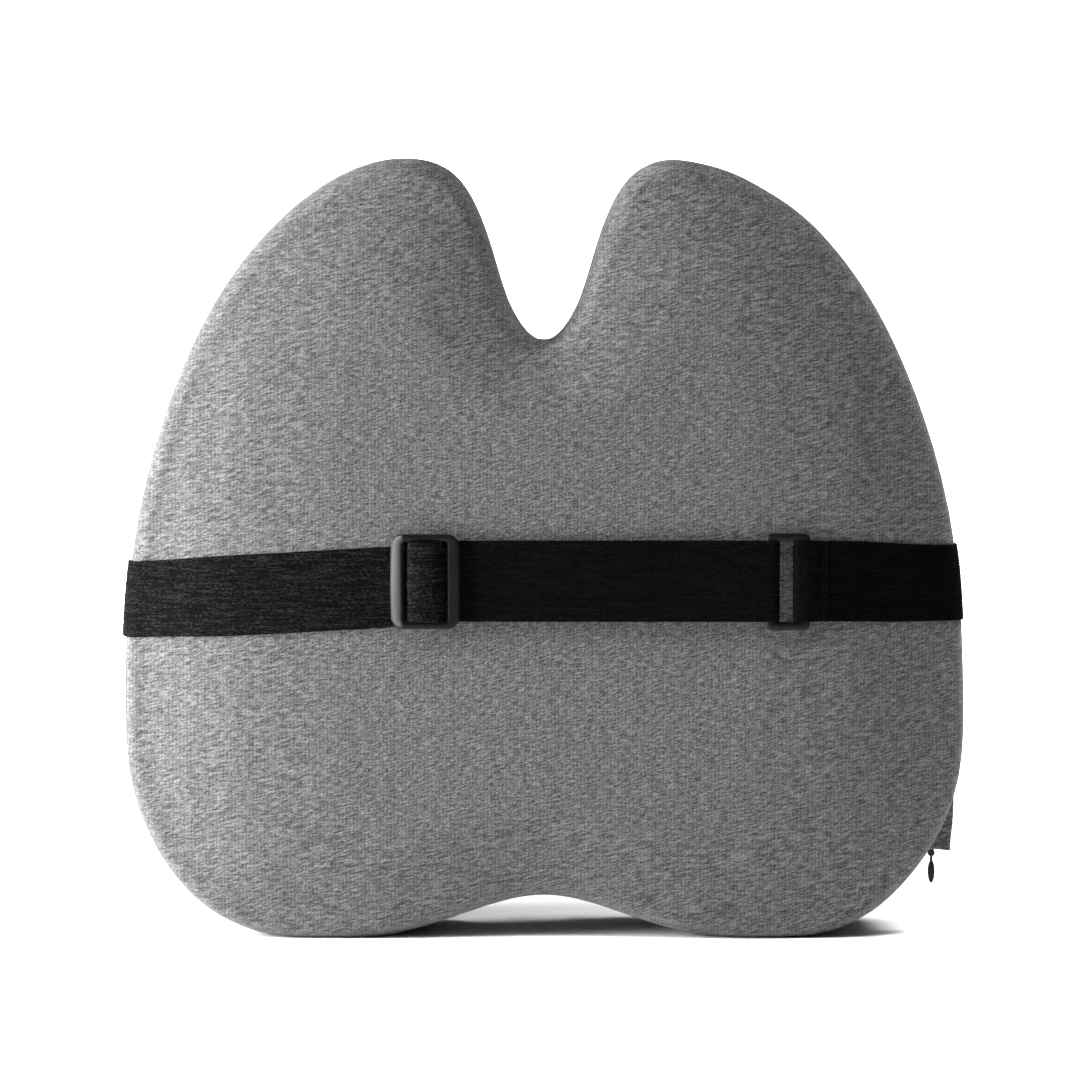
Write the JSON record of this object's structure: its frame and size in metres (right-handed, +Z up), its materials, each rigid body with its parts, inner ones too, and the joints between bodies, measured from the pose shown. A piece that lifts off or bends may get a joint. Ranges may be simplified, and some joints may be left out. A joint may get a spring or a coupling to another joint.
{
  "type": "lumbar support cushion",
  "caption": "Contoured foam lumbar cushion in a zipped heather-grey knit cover, with a black elastic strap, sliding adjuster and loop ring across its back.",
  "frame": {"origin": "middle of the cushion's width and depth, on the surface that it stands on", "axes": "+Z up when the cushion stands on its two lower lobes, +X along the strap, to the right when its back is seen, -Y out of the back that faces the chair, +Y towards the sitter's back"},
  "size_m": [0.4277, 0.1222, 0.389],
  "materials": {
    "foam": "open-cell memory foam, matt",
    "liner": "thin white stockinette",
    "cover_knit": "heather-grey jersey knit, matt",
    "zip_tape": "woven tape, matt",
    "zip_coil": "nylon coil",
    "black_metal": "black enamel, satin",
    "black_elastic": "ribbed knitted elastic, matt",
    "black_plastic": "moulded acetal, satin",
    "thread": "polyester sewing thread"
  },
  "bodies": {
    "cushion": {"foam_core": "foam", "inner_liner": "liner", "cover_back_panel": "cover_knit", "cover_front_panel": "cover_knit", "zip_fold_back": "cover_knit", "zip_fold_front": "cover_knit", "zip_tape_back": "zip_tape", "zip_tape_front": "zip_tape", "zip_coil_back": "zip_coil", "zip_coil_front": "zip_coil", "zip_bottom_stop": "zip_coil", "zip_top_stop": "zip_coil", "strap_main": "black_elastic", "strap_right": "black_elastic"},
    "adjuster": {"tri_glide": "black_plastic", "glide_fold_stitches": "thread"},
    "ring": {"strap_ring": "black_plastic", "ring_fold_stitches": "thread"},
    "slider": {"zip_slider": "black_metal"},
    "pull": {"zip_pull": "black_metal"}
  },
  "joints": [
    {"name": "glide_slide", "type": "slide", "parent": "cushion", "child": "adjuster", "axis": [1, 0, 0], "range_m": [-0.055, 0.055], "deforming": ["strap_main"]},
    {"name": "ring_slide", "type": "slide", "parent": "cushion", "child": "ring", "axis": [1, 0, 0], "range_m": [-0.012, 0.012], "deforming": ["strap_right"]},
    {"name": "zip_run", "type": "slide", "parent": "cushion", "child": "slider", "axis": [0, 0, 1], "range_m": [0, 0.152]},
    {"name": "pull_swing", "type": "hinge", "parent": "slider", "child": "pull", "pos_m": [0.1958, -0.0065, 0.0388], "axis": [0, -1, 0], "range_deg": [-5, 150]}
  ],
  "couplings": [
    {"joint": "ring_slide", "follows": "glide_slide", "ratio": 0.2}
  ]
}
